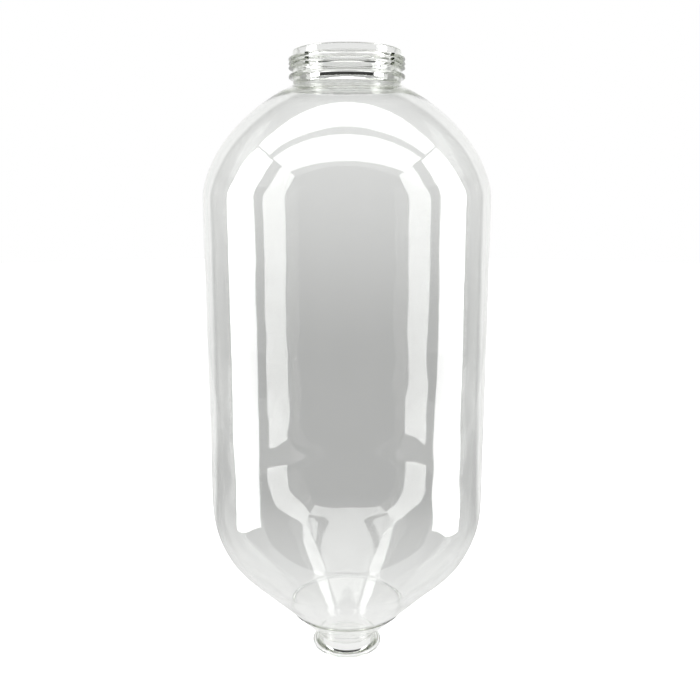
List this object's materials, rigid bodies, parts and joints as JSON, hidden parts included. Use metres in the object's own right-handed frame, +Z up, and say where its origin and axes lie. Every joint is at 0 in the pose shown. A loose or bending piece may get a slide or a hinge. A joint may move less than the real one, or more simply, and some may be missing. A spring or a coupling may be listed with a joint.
{
  "type": "conical fermenter carboy",
  "caption": "Clear wide-mouth brewing carboy: domed shoulder, straight wall, conical bottom with a clamp-ferrule outlet, and a ridged neck with a support ring.",
  "frame": {"origin": "centre of the outlet ferrule's seating face, which is the lowest face and the middle of the footprint", "axes": "+Z up along the vessel's own axis; the vent slots of the closure ridges lie between +X and +Y and every quarter turn after"},
  "size_m": [0.295, 0.295, 0.6426],
  "materials": {
    "clear_wall": "clear blown PET, polished, 1.8 mm",
    "clear_thick": "clear unstretched PET, polished, 3.5 to 4.3 mm, faint grey-green"
  },
  "bodies": {
    "root": {"clamp_ferrule": "clear_thick", "outlet_neck": "clear_thick", "outlet_boss": "clear_thick", "cone": "clear_wall", "heel": "clear_wall", "straight_wall": "clear_wall", "dome": "clear_wall", "neck_waist": "clear_thick", "support_ring": "clear_thick", "ridged_finish": "clear_thick"}
  },
  "joints": []
}
